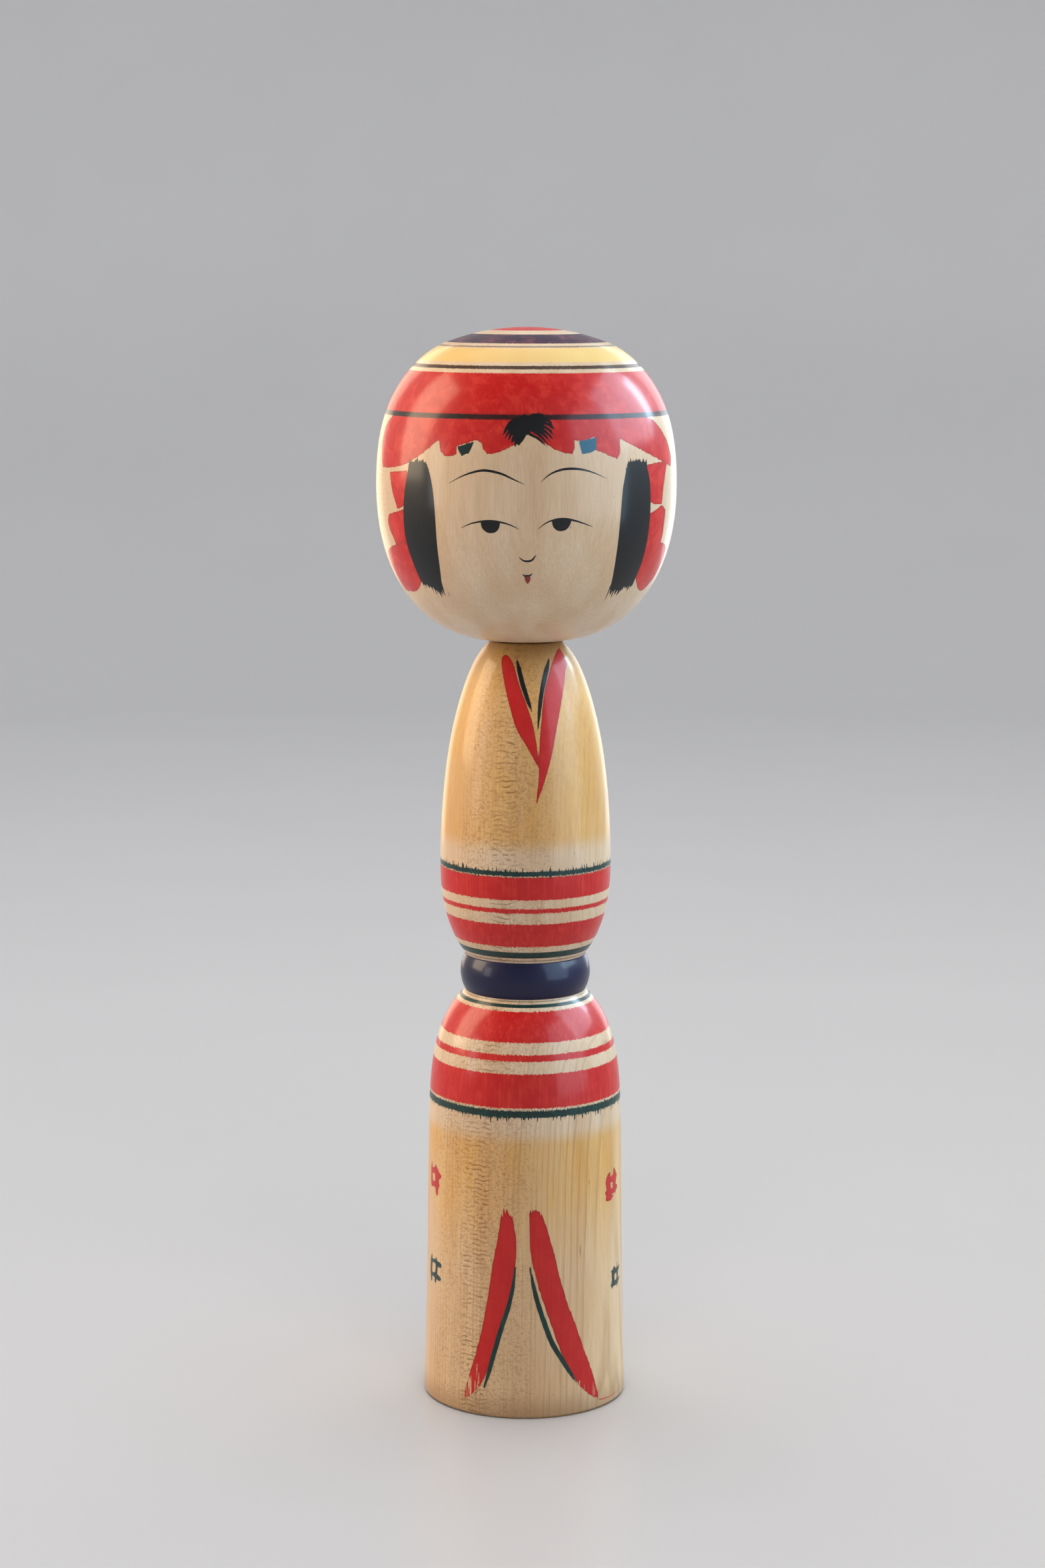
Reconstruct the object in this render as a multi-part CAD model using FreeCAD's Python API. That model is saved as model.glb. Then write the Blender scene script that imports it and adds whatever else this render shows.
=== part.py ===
import FreeCAD, Part
import os

# A turned wooden kokeshi doll: a waisted body, a head, and the peg that joins them.
# Millimetres, +Z up. The origin is the centre of the base, on the surface that the doll stands on.
os.makedirs("parts", exist_ok=True)

# ---- Body: the skirt, from the base up to the lower groove of the waist ----
base_radius = 28.9
skirt_height = 117.7
foot_chamfer = 0.7  # broken edge round the base
foot_ring_width = 6.5  # flat ring that the doll stands on, outside the dish
dish_depth = 0.6  # hollow under the base, so that the doll stands without rocking

# ---- Body: the waist bead, between two narrow grooves ----
groove_radius = 17.1
groove_width = 0.4
bead_radius = 18.4
bead_height = 10.1

# ---- Body: the torso, from the upper groove up to the neck ----
chest_radius = 24.05
torso_height = 88.6
neck_radius = 10.1  # rim that the head comes down to
neck_chamfer = 1.5

# ---- Head ----
head_radius = 41.7
head_height = 86.1
chin_flat_radius = 13.0  # flat underside that sits over the neck
crown_radius = 23.4  # edge of the shallow dome on top
crown_rise = 4.6

# ---- Neck joint ----
peg_radius = 5.5
peg_depth_in_head = 21.0
peg_depth_in_body = 26.0
peg_chamfer = 0.8
socket_spare_depth = 1.5  # empty depth past each end of the peg, for glue and air
turning_clearance = 0.05  # radial, between the peg and the body's socket
land_width = 2.2  # raised ring round the socket, which carries the head
land_height = 0.7  # it leaves a narrow shadow line between neck and head
seat_clearance = 0.1  # between that land and the underside of the head

# Outlines between the sizes above. Each pair is a share of the stretch's own radius and height.
SKIRT_OUTLINE = [(0.978, 0.22), (0.964, 0.45), (0.951, 0.66), (0.933, 0.778), (0.899, 0.845),
                 (0.835, 0.905), (0.747, 0.952)]
TORSO_OUTLINE = [(0.786, 0.030), (0.888, 0.089), (0.974, 0.180), (1.0, 0.315), (0.968, 0.504),
                 (0.911, 0.641), (0.807, 0.779), (0.686, 0.883), (0.574, 0.948)]
HEAD_OUTLINE = [(0.427, 0.0115), (0.717, 0.0965), (0.933, 0.270), (1.0, 0.529), (0.935, 0.730),
                (0.779, 0.864)]

lower_groove_z = skirt_height
bead_z = lower_groove_z + groove_width
upper_groove_z = bead_z + bead_height
torso_z = upper_groove_z + groove_width
neck_rim_z = torso_z + torso_height
neck_top_z = neck_rim_z + land_height
chin_z = neck_top_z + seat_clearance
crown_z = chin_z + head_height
socket_radius = peg_radius + turning_clearance


def at(radius, height):
    return FreeCAD.Vector(radius, 0, height)


def straights(points):
    """Straight edges through the points."""
    return [Part.LineSegment(a, b).toShape() for a, b in zip(points, points[1:])]


def arc(start, middle, end):
    return Part.Arc(start, middle, end).toShape()


def dome(edge_radius, edge_z, middle_z):
    """The arc of a shallow round dome or dish, from its edge to the axis, where it is level."""
    rise = middle_z - edge_z
    sphere = (edge_radius ** 2 + rise ** 2) / (2 * rise)
    half = edge_radius / 2
    lift = rise - sphere + (sphere ** 2 - half ** 2) ** 0.5
    return arc(at(edge_radius, edge_z), at(half, edge_z + lift), at(0, middle_z))


def curve(points):
    """One smooth edge through the points."""
    line = Part.BSplineCurve()
    line.interpolate(Points=points)
    return line.toShape()


def turned(edges):
    """The solid that a lathe makes of a closed half outline."""
    face = Part.Face(Part.Wire(edges))
    solid = face.revolve(FreeCAD.Vector(0, 0, 0), FreeCAD.Vector(0, 0, 1), 360)
    if not solid.isValid() or solid.Volume <= 0:
        raise ValueError("an outline does not close into a sound solid")
    return solid


def body():
    ring_inner = base_radius - foot_chamfer - foot_ring_width
    land_radius = socket_radius + land_width
    socket_floor = neck_top_z - peg_depth_in_body - socket_spare_depth
    skirt = [at(base_radius, foot_chamfer)]
    skirt += [at(base_radius * r, skirt_height * h) for r, h in SKIRT_OUTLINE]
    skirt += [at(groove_radius, lower_groove_z)]
    torso = [at(groove_radius, torso_z)]
    torso += [at(chest_radius * r, torso_z + torso_height * h) for r, h in TORSO_OUTLINE]
    torso += [at(neck_radius + neck_chamfer, neck_rim_z - neck_chamfer)]
    edges = [dome(ring_inner, 0, dish_depth)]
    edges += straights([at(ring_inner, 0), at(base_radius - foot_chamfer, 0), skirt[0]])
    edges += [curve(skirt)]
    edges += straights([skirt[-1], at(groove_radius, bead_z)])
    edges += [arc(at(groove_radius, bead_z), at(bead_radius, bead_z + bead_height / 2),
                  at(groove_radius, upper_groove_z))]
    edges += straights([at(groove_radius, upper_groove_z), torso[0]])
    edges += [curve(torso)]
    edges += straights([
        torso[-1],
        at(neck_radius, neck_rim_z),
        at(land_radius, neck_rim_z),
        at(land_radius, neck_top_z),
        at(socket_radius, neck_top_z),
        at(socket_radius, socket_floor),
        at(0, socket_floor),
        at(0, dish_depth),
    ])
    return turned(edges)


def head():
    socket_roof = chin_z + peg_depth_in_head + socket_spare_depth
    side = [at(chin_flat_radius, chin_z)]
    side += [at(head_radius * r, chin_z + head_height * h) for r, h in HEAD_OUTLINE]
    side += [at(crown_radius, crown_z - crown_rise)]
    edges = [curve(side), dome(crown_radius, crown_z - crown_rise, crown_z)]
    edges += straights([
        at(0, crown_z),
        at(0, socket_roof),
        at(peg_radius, socket_roof),
        at(peg_radius, chin_z),
        side[0],
    ])
    return turned(edges)


def neck_peg():
    low = neck_top_z - peg_depth_in_body
    high = chin_z + peg_depth_in_head
    narrow = peg_radius - peg_chamfer
    return turned(straights([
        at(0, low),
        at(narrow, low),
        at(peg_radius, low + peg_chamfer),
        at(peg_radius, high - peg_chamfer),
        at(narrow, high),
        at(0, high),
        at(0, low),
    ]))


for name, make in (("body", body), ("head", head), ("neck_peg", neck_peg)):
    make().exportStep("parts/" + name + ".step")
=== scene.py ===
"""A kokeshi doll of turned and painted wood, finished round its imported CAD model.

The body, the head and the hidden neck peg are turned again on a fine grid from their own CAD
outlines, so their sizes and places are the CAD's. In the paint lists a place on the wood is
(angle, height): degrees round from the front, positive to the doll's left hand (+X), and
millimetres above the foot on the body, or above the head's underside on the head.
"""

import math

import bmesh
import bpy
import numpy as np
from bpy.props import FloatProperty, FloatVectorProperty, PointerProperty
from mathutils import Euler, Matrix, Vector


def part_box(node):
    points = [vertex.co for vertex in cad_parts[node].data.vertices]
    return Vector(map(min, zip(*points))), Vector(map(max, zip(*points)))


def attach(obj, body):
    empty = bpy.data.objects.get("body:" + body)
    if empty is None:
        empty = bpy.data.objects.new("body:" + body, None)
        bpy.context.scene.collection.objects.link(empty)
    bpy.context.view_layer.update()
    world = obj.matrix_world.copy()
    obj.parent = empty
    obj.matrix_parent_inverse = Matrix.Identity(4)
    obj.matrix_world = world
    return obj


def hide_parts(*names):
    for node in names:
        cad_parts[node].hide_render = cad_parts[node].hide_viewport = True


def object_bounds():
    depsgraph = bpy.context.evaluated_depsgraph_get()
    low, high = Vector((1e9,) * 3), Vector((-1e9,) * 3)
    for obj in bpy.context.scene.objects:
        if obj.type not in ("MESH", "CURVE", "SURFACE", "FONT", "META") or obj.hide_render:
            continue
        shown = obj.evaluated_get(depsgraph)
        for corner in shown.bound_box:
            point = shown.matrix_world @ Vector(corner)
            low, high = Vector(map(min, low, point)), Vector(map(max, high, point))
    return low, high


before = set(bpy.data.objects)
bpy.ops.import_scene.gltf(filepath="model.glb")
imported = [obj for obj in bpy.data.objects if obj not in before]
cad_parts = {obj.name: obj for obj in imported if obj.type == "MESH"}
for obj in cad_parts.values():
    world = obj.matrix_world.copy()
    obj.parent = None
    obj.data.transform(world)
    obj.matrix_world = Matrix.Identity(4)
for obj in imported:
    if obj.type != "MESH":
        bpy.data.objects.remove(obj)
CAD_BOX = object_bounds()

bl_info = {
    "name": "Kokeshi Doll",
    "version": (1, 0, 0),
    "blender": (4, 5, 0),
    "location": "3D View > Sidebar > Kokeshi",
    "description": "Turns and paints a wooden kokeshi doll round its CAD frame",
    "category": "Object",
}

MM = 0.001
DOLL_HEIGHT = CAD_BOX[1].z - CAD_BOX[0].z
FOOT_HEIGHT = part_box("body")[0].z / MM
CHIN_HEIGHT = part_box("head")[0].z / MM

# Points of the CAD nearer than this, in metres, are the same point.
SAME_PLACE = 1e-6
# A turn of the outline sharper than this many degrees is an edge; less is a smooth curve.
EDGE_TURN = 16.0
# How finely the CAD's curves, the brush marks and the pen lines are drawn, in mm.
OUTLINE_PITCH, BRUSH_PITCH, PEN_PITCH = 0.05, 0.8, 0.4
# Paint stays off the sockets: nothing this close to the axis, in mm, is brushed.
SOCKET_RADIUS = 8.0
# How far round a mark its distances reach, in mm, and the radius that turns this into degrees.
MARK_MARGIN, MARGIN_RADIUS = 4.0, 24.0
# How far apart the level dashes of the ray flecks are, in mm.
RUNG_GAP = 1.35
# What a place far from any brush mark is given as its distance, in mm.
FAR = 20.0


# ---- Turning: the CAD outline, made fine and spun round the axis ----


def cut_section(node):
    """The half section of a turned CAD piece, as (radius, height) in mm along its outline."""
    solid = bmesh.new()
    solid.from_mesh(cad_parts[node].data)
    bmesh.ops.remove_doubles(solid, verts=solid.verts, dist=SAME_PLACE)
    for plane_normal in ((1, 0, 0), (0, 1, 0)):
        cut = bmesh.ops.bisect_plane(
            solid,
            geom=solid.verts[:] + solid.edges[:] + solid.faces[:],
            dist=0.1 * SAME_PLACE,
            plane_co=(0, 0, 0),
            plane_no=plane_normal,
            clear_inner=plane_normal[0] == 1,
        )
    neighbours = {}
    for edge in cut["geom_cut"]:
        if isinstance(edge, bmesh.types.BMEdge):
            first, second = edge.verts
            neighbours.setdefault(first, []).append(second)
            neighbours.setdefault(second, []).append(first)
    on_axis = [vert for vert in neighbours if vert.co.x < SAME_PLACE]
    walk = [min(on_axis, key=lambda vert: vert.co.z)]
    while True:
        onward = [vert for vert in neighbours[walk[-1]] if vert not in walk[-2:]]
        if not onward:
            break
        walk.append(onward[0])
    outline = np.array([(vert.co.x, vert.co.z) for vert in walk]) / MM
    solid.free()
    keep = np.ones(len(outline), bool)
    keep[1:] = np.linalg.norm(np.diff(outline, axis=0), axis=1) > SAME_PLACE / MM
    return outline[keep]


def smooth_line(points, pitch):
    """Points at most about pitch apart along a smooth curve through the given ones."""
    points = np.asarray(points, float)
    if len(points) == 2:
        count = max(1, math.ceil(np.linalg.norm(points[1] - points[0]) / pitch))
        share = np.linspace(0, 1, count + 1)[:, None]
        return points[0] + share * (points[1] - points[0])
    before = 2 * points[0] - points[1]
    after = 2 * points[-1] - points[-2]
    knots = np.vstack([before, points, after])
    spans = np.maximum(np.linalg.norm(np.diff(knots, axis=0), axis=1), 1e-9)
    slopes = np.diff(knots, axis=0) / spans[:, None]
    weight = spans[:-1] / (spans[:-1] + spans[1:])
    tangents = slopes[:-1] * (1 - weight)[:, None] + slopes[1:] * weight[:, None]
    line = [points[:1]]
    for index, (start, end) in enumerate(zip(points, points[1:])):
        length = spans[index + 1]
        count = max(1, math.ceil(length / pitch))
        share = (np.arange(1, count + 1) / count)[:, None]
        leave, arrive = tangents[index] * length, tangents[index + 1] * length
        line.append(
            (2 * share**3 - 3 * share**2 + 1) * start
            + (share**3 - 2 * share**2 + share) * leave
            + (3 * share**2 - 2 * share**3) * end
            + (share**3 - share**2) * arrive
        )
    return np.vstack(line)


def walk_lengths(line):
    """How far along a line each of its points is."""
    return np.concatenate([[0.0], np.cumsum(np.linalg.norm(np.diff(line, axis=0), axis=1))])


def places_along(line, lengths, wanted):
    """The points of a line that lie at the wanted lengths along it."""
    return np.column_stack([np.interp(wanted, lengths, line[:, axis]) for axis in (0, 1)])


def space_out(line, gap_at):
    """Points picked along a finely drawn line, gap_at(height) mm apart."""
    lengths = walk_lengths(line)
    gaps = np.array([gap_at(height) for height in line[:, 1]])
    steps = np.diff(lengths) * 2 / (gaps[1:] + gaps[:-1])
    progress = np.concatenate([[0.0], np.cumsum(steps)])
    count = max(1, math.ceil(progress[-1]))
    wanted = np.interp(np.linspace(0, progress[-1], count + 1), progress, lengths)
    return places_along(line, lengths, wanted)


def trim(line, from_start, from_end):
    """The line without its first from_start and last from_end mm."""
    lengths = walk_lengths(line)
    low, high = from_start, lengths[-1] - from_end
    inner = lengths[(lengths > low) & (lengths < high)]
    return places_along(line, lengths, np.concatenate([[low], inner, [high]]))


def fine_outline(node, gap_at, edge_round):
    """A CAD outline with its smooth stretches drawn finely and its edges slightly rounded."""
    outline = cut_section(node)
    steps = np.diff(outline, axis=0)
    headings = np.degrees(np.unwrap(np.arctan2(steps[:, 1], steps[:, 0])))
    turns = np.abs(np.diff(headings))
    edges = [0, *(np.flatnonzero(turns > EDGE_TURN) + 1), len(outline) - 1]
    runs = [
        smooth_line(outline[first : last + 1], OUTLINE_PITCH)
        for first, last in zip(edges, edges[1:])
    ]
    lengths = [walk_lengths(run)[-1] for run in runs]
    rounds = [min(edge_round, 0.3 * before, 0.3 * after) for before, after in zip(lengths, lengths[1:])]
    rounds = [0.0, *rounds, 0.0]
    rows = []
    for index, run in enumerate(runs):
        if index:
            corner = run[0]
            leave = rows[-1][-1]
            arrive = trim(run, rounds[index], 0)[0]
            for share in (0.25, 0.5, 0.75):
                rest = 1 - share
                rows.append([rest**2 * leave + 2 * share * rest * corner + share**2 * arrive])
        rows.append(space_out(trim(run, rounds[index], rounds[index + 1]), gap_at))
    rows = np.vstack(rows)
    rows[:, 1] = np.clip(rows[:, 1], outline[:, 1].min(), outline[:, 1].max())
    rows[[0, -1], 0] = 0.0
    return rows


def spoke_angles(zones):
    """Angles round a piece in degrees, with zones of (up to this angle, gap) each side of 0."""
    half = [0.0]
    for limit, gap in zones:
        count = math.ceil((limit - half[-1]) / gap)
        half.extend(np.linspace(half[-1], limit, count + 1)[1:])
    half = np.array(half)
    return np.concatenate([-half[::-1][:-1], half])


def spin(name, outline, angles):
    """A closed mesh of the outline spun round the axis, with a bake map, and each point's place.

    The map gives every grid square the same room, so the finely gridded paint gets the most.
    """
    radii, heights = outline[1:-1, 0], outline[1:-1, 1]
    turns = np.radians(angles[:-1])
    rows, spokes = len(radii), len(turns)
    x = np.outer(radii, np.sin(turns)).ravel()
    y = np.outer(radii, -np.cos(turns)).ravel()
    z = np.repeat(heights, spokes)
    points = np.column_stack([x, y, z])
    points = np.vstack([points, (0, 0, outline[0, 1]), (0, 0, outline[-1, 1])]) * MM

    row, spoke = (grid.ravel() for grid in np.mgrid[: rows - 1, :spokes])
    low, high = row * spokes, (row + 1) * spokes
    onward = (spoke + 1) % spokes
    quads = np.column_stack([low + spoke, low + onward, high + onward, high + spoke])
    around = np.arange(spokes)
    ahead = (around + 1) % spokes
    last, low_end = (rows - 1) * spokes, np.full(spokes, rows * spokes)
    low_fan = np.column_stack([low_end, ahead, around])
    high_fan = np.column_stack([last + around, last + ahead, low_end + 1])

    mesh = bpy.data.meshes.new(name)
    mesh.from_pydata(points.tolist(), [], quads.tolist() + low_fan.tolist() + high_fan.tolist())

    left, right = spoke / spokes, (spoke + 1) / spokes
    below, above = (row + 1) / (rows + 1), (row + 2) / (rows + 1)
    quad_map = np.column_stack([left, below, right, below, right, above, left, above])
    start, stop = around / spokes, (around + 1) / spokes
    middle = (start + stop) / 2
    first_row = np.full(spokes, 1 / (rows + 1))
    last_row = np.full(spokes, rows / (rows + 1))
    low_map = np.column_stack([middle, 0 * middle, stop, first_row, start, first_row])
    high_map = np.column_stack([start, last_row, stop, last_row, middle, 0 * middle + 1])
    layer = mesh.uv_layers.new(name="OFBake")
    room = np.concatenate([quad_map.ravel(), low_map.ravel(), high_map.ravel()])
    layer.data.foreach_set("uv", room.astype(np.float32))
    mesh.shade_smooth()

    piece = bpy.data.objects.new(name, mesh)
    bpy.context.scene.collection.objects.link(piece)
    ends = [0.0, 0.0]
    place = {
        "angle": np.concatenate([np.tile(angles[:-1], rows), ends]),
        "height": np.concatenate([z, outline[[0, -1], 1]]),
        "radius": np.concatenate([np.repeat(radii, spokes), ends]),
    }
    return piece, place


# ---- Brushwork: each mark as distances from its edge, kept on the mesh for the material to use ----


def closed_shape(*runs):
    """A closed outline from smooth runs of (angle, height), each up to where the next starts."""
    line = []
    for index, run in enumerate(runs):
        onward = runs[(index + 1) % len(runs)][0]
        line.append(smooth_line([*run, onward], BRUSH_PITCH)[:-1])
    return np.vstack(line)


class BrushLayer:
    """One colour's brush marks on one piece: distance from their edge, raggedness, dryness."""

    unmarked = (FAR, 0.0, 0.0)

    def __init__(self, name, place):
        self.name = name
        self.angle = place["angle"]
        self.height = place["height"]
        self.radius = place["radius"]
        self.distance = np.full(len(self.angle), FAR)
        self.values = np.tile(self.unmarked, (len(self.angle), 1))

    def near(self, line):
        """Which points of the surface lie near a line."""
        margin = np.array([math.degrees(MARK_MARGIN / MARGIN_RADIUS), MARK_MARGIN])
        low, high = line.min(0) - margin, line.max(0) + margin
        chosen = (self.angle > low[0]) & (self.angle < high[0]) & (self.radius > SOCKET_RADIUS)
        return np.flatnonzero(chosen & (self.height > low[1]) & (self.height < high[1]))

    def offsets(self, chosen, line):
        """For each chosen point, its nearest place on a line: distance, share, side, overrun."""
        scale = np.radians(1) * self.radius[chosen]
        best = np.zeros((4, len(chosen)))
        best[0] = np.inf
        total = len(line) - 1
        for index in range(total):
            start_x = (line[index, 0] - self.angle[chosen]) * scale
            start_y = line[index, 1] - self.height[chosen]
            run_x = (line[index + 1, 0] - line[index, 0]) * scale
            run_y = line[index + 1, 1] - line[index, 1]
            length = np.hypot(run_x, run_y) + 1e-9
            raw = -(start_x * run_x + start_y * run_y) / length**2
            share = np.clip(raw, 0, 1)
            gap = np.hypot(start_x + share * run_x, start_y + share * run_y)
            side = (run_x * start_y - run_y * start_x) / length
            at_end = index in (0, total - 1)
            beyond = np.abs(raw - share) * length * at_end
            closer = gap < best[0]
            found = np.array([gap, (index + share) / total, side, beyond])
            best[:, closer] = found[:, closer]
        return best

    def merge(self, chosen, distance, first, second, third=0.0):
        """Adds a mark's three kept values where it is nearer than the marks already there."""
        closer = distance < self.distance[chosen]
        picked = chosen[closer]
        self.distance[picked] = distance[closer]
        self.values[picked] = np.column_stack(np.broadcast_arrays(first, second, third))[closer]

    def shape(self, *runs, ragged=0.06, top=0.0, foot=0.0, reach=3.0, dry_foot=0.0):
        """Fills a closed outline, with bristles up to top and foot mm long at its two ends."""
        outline = closed_shape(*runs)
        chosen = self.near(outline)
        loop = np.vstack([outline, outline[:1]])
        distance = self.offsets(chosen, loop)[0]
        inside = np.zeros(len(chosen), bool)
        angle, height = self.angle[chosen], self.height[chosen]
        for (from_x, from_y), (to_x, to_y) in zip(loop, loop[1:]):
            if from_y == to_y:
                continue
            spans = (from_y > height) != (to_y > height)
            crossing = from_x + (height - from_y) * (to_x - from_x) / (to_y - from_y)
            inside ^= spans & (angle < crossing)
        distance[inside] *= -1
        low, high = outline[:, 1].min(), outline[:, 1].max()
        bristled = ragged + top * np.clip(1 - (high - height) / reach, 0, 1)
        bristled += foot * np.clip(1 - (height - low) / reach, 0, 1)
        dry = dry_foot * np.clip(1 - (height - low) / (3 * reach), 0, 1)
        self.merge(chosen, distance, distance, bristled, dry)

    def stroke(self, points, widths, ragged=0.05):
        """A brush stroke along a smooth path, as wide as given at even steps along it."""
        line = smooth_line(points, BRUSH_PITCH)
        chosen = self.near(line)
        along, where, _, _ = self.offsets(chosen, line)
        distance = along - np.interp(where, np.linspace(0, 1, len(widths)), widths) / 2
        self.merge(chosen, distance, distance, ragged)

    def store(self, piece):
        """Keeps the layer on the piece's mesh."""
        layer = piece.data.attributes.new(self.name, "FLOAT_VECTOR", "POINT")
        layer.data.foreach_set("vector", self.values.astype(np.float32).ravel())


class PenLayer(BrushLayer):
    """Fine lines: the distance to each side of a line and its half width, so it stays sharp."""

    unmarked = (FAR, -FAR, 0.0)

    def stroke(self, points, widths):
        """A fine tapered line along a smooth path."""
        line = smooth_line(points, PEN_PITCH)
        chosen = self.near(line)
        along, where, side, beyond = self.offsets(chosen, line)
        half = np.interp(where, np.linspace(0, 1, len(widths)), widths) / 2
        half = half - beyond - 3 * np.maximum(along - 1.2, 0)
        self.merge(chosen, np.abs(side) - half, side, half)


def paint_collar(red, ink):
    """The two red lapels that cross under the neck, and the dark line inside each."""
    red.shape(
        [(-31.2, 213.6), (-29, 214.2), (-23, 214.2), (-18.4, 213.4), (-13.8, 211.9), (-6.2, 206.6),
         (1.3, 200.8), (6.3, 195), (8.8, 188)],
        [(9.4, 184), (2.2, 189.2), (-8, 195.4), (-16.1, 202.7), (-25.9, 210.3)],
    )
    red.shape(
        [(42.9, 214.9), (48.8, 215.5), (54, 215.2), (54.2, 214.2), (44.8, 209.5), (32.8, 202),
         (24.6, 194.4), (18.9, 187.1), (12.8, 180.1)],
        [(6.7, 173.6), (8.8, 180.9), (9.8, 188.8), (12.3, 196.5), (16.7, 204.2), (26.5, 210.6),
         (35.6, 213.5)],
    )
    ink.stroke(
        [(-10.8, 213.1), (-8, 211.2), (-4.5, 208.1), (-1.2, 205.1), (2.2, 202.1), (5.2, 199.2)],
        [0.5, 1.2, 1.3, 1.3, 1.1, 0.2],
    )
    ink.stroke(
        [(28, 213.3), (24.2, 211.5), (19.4, 208.8), (14.8, 205), (11.6, 200.2), (9.3, 194.2)],
        [0.4, 1.3, 1.4, 1.2, 1.0, 0.2],
    )


def paint_skirt(red, green):
    """The two long red brush strokes down the skirt, each with a green line inside it."""
    red.shape(
        [(-13.8, 58.2), (-11.5, 60.4), (-8, 58.8), (-5.3, 53), (-4.7, 49), (-5.7, 43.2), (-7.7, 36.4),
         (-12.2, 28.8), (-17.5, 20), (-22, 12.6), (-27, 8)],
        [(-33, 5)],
        [(-37, 3.6), (-35.3, 7.5), (-29.5, 17), (-25.1, 25.5), (-21.6, 34.7), (-18.7, 44.5),
         (-15.3, 53.7)],
        ragged=0.12, top=0.9, foot=0.6, reach=4.0, dry_foot=0.42,
    )
    red.shape(
        [(2.8, 59.4), (5.7, 60.3), (8.6, 59.8), (10.8, 57.8), (15.4, 50.9), (20.1, 41.8), (24.9, 33.6),
         (31.2, 25.6), (37.7, 17), (42.5, 11)],
        [(47.9, 2.6), (37.8, 5.9), (29.1, 11), (21.2, 19), (13.6, 29.6), (6.8, 40.4), (3.2, 48.3),
         (2.6, 55)],
        ragged=0.13, top=0.6, foot=0.3, reach=3.0, dry_foot=0.1,
    )
    green.stroke(
        [(-5.4, 44), (-6.3, 39.5), (-9, 33), (-12.4, 27.6), (-16.6, 20.4), (-20.6, 13), (-23.3, 8.4)],
        [0.5, 1.1, 1.3, 1.4, 1.4, 1.3, 0.6],
    )
    green.stroke([(-30, 5.9), (-28.2, 6.8), (-23.6, 6.3)], [0.2, 0.6, 0.2])
    green.stroke(
        [(3.1, 44), (4.6, 39.8), (7.2, 34.4), (11, 28.4), (15.9, 21.9), (21.5, 17), (26.4, 13), (32, 8.6)],
        [0.5, 1.2, 1.4, 1.5, 1.5, 1.4, 1.2, 0.4],
    )


# The four woven-cloth marks at the sides of the skirt, as (widths, path) for each stroke: two
# upright strokes crossed by two level ones, each mark a little different.
RED_LEFT_MARK = (
    ((0.5, 1.3, 1.4, 1.5, 0.8), ((-72.9, 69), (-72.6, 65.6), (-72, 62))),
    ((0.9, 2.2, 2.3, 2.1, 1.2), ((-66.3, 68.6), (-64.1, 66.6), (-64, 63.4), (-63.9, 60.8))),
    ((1.2, 1.7, 1.5), ((-71.8, 67), (-65.1, 67), (-60.4, 66.3))),
    ((1.2, 1.6, 0.5), ((-72.3, 62.9), (-65, 63.4), (-60.4, 63.8))),
)
RED_RIGHT_MARK = (
    ((1.1, 2.2, 2, 2.1, 0.9), ((59.6, 67), (58, 65), (59, 62.8), (57, 60.2))),
    ((0.5, 1.9, 2, 1.9, 0.8), ((65.8, 68.2), (67.4, 65.7), (66.6, 63.5), (67.6, 61.1))),
    ((0.8, 1.7, 1.3), ((57, 65.3), (62.1, 65.3), (69, 65.6))),
    ((0.9, 1.6, 1.2), ((56, 62), (62.1, 61.7), (70, 62.3))),
    ((0.7, 1.5, 0.6), ((56.4, 60), (60.5, 60.1), (64.2, 60.3))),
)
GREEN_LEFT_MARK = (
    ((0.4, 1.3, 1.3, 1.4, 1), ((-70.8, 42.4), (-71.1, 40), (-71.4, 37.2), (-70.7, 34.8))),
    ((0.4, 1.3, 1.4, 1.4, 1), ((-63.8, 42.2), (-63.2, 40.5), (-63.7, 37.5), (-64.5, 35))),
    ((1, 1.1, 1.1, 1.4), ((-71, 40.5), (-64.1, 40.8), (-59, 40.4))),
    ((1.1, 1.1, 1.1, 1.4), ((-71.4, 36.6), (-64.6, 36.7), (-59.4, 36.4))),
)
GREEN_RIGHT_MARK = (
    ((1, 1.7, 1.5, 1.7, 0.9), ((65.3, 39), (63.9, 37.1), (64.1, 35.4), (62.4, 33.8))),
    ((0.3, 1.1, 1.2, 0.5), ((69.9, 40.2), (70.1, 37.5), (70.2, 34.3), (69.6, 32.3))),
    ((0.5, 1.4, 1.1, 0.6), ((61, 38.3), (65.5, 38.1), (70.9, 37.8), (75, 38.5))),
    ((0.7, 1.3, 1, 0.6), ((61.4, 34.6), (66.1, 34.4), (70.7, 34.5), (74.4, 35.1))),
)


def paint_marks(red, green):
    """The four small cloth marks at the sides of the skirt, all drawn a little bolder."""
    bolder = 1.15
    for layer, marks in (
        (red, (RED_LEFT_MARK, RED_RIGHT_MARK)),
        (green, (GREEN_LEFT_MARK, GREEN_RIGHT_MARK)),
    ):
        for mark in marks:
            for widths, path in mark:
                layer.stroke(path, [bolder * width for width in widths], ragged=0.16)


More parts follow.
